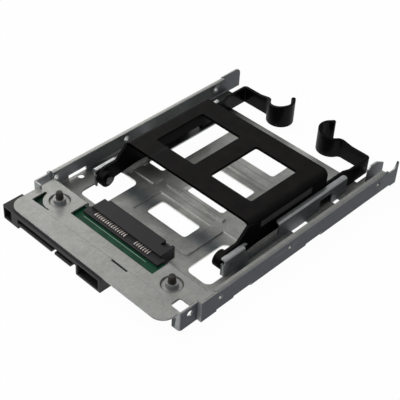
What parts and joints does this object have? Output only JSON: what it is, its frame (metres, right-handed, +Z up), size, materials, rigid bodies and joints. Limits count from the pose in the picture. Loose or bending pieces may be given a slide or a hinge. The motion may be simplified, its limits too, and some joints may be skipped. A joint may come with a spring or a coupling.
{
  "type": "drive adapter frame",
  "caption": "Folded steel frame that holds a small disk drive in a larger drive bay, with an adapter board and a hinged black retainer with spring hooks.",
  "frame": {"origin": "centre of the bounding box at the bottom of the rails", "axes": "+X to the right seen from the connector end, +Y from the connector end towards the spring hooks, +Z up"},
  "size_m": [0.1016, 0.1492, 0.0178],
  "materials": {
    "sheet_steel": "galvanised sheet, satin, faint spangle",
    "board_green": "solder mask over laminate",
    "screw_black": "blackened steel",
    "connector_black": "moulded, fine matt",
    "contact_metal": "thin gold flash",
    "retainer_black": "moulded, fine matt",
    "pin_steel": "plain turned"
  },
  "bodies": {
    "frame": {"tray": "sheet_steel", "adapter_board": "board_green", "board_screws": "screw_black", "receptacle_housing": "connector_black", "receptacle_power_contacts": "contact_metal", "receptacle_signal_contacts": "contact_metal", "plug_housing": "connector_black", "plug_power_contacts": "contact_metal", "plug_signal_contacts": "contact_metal", "left_hinge_pin": "pin_steel", "right_hinge_pin": "pin_steel"},
    "retainer": {"retainer_frame": "retainer_black"}
  },
  "joints": [
    {"name": "retainer_hinge", "type": "hinge", "parent": "frame", "child": "retainer", "pos_m": [0, -0.0289, 0.0052], "axis": [1, 0, 0], "range_deg": [0, 80]}
  ]
}
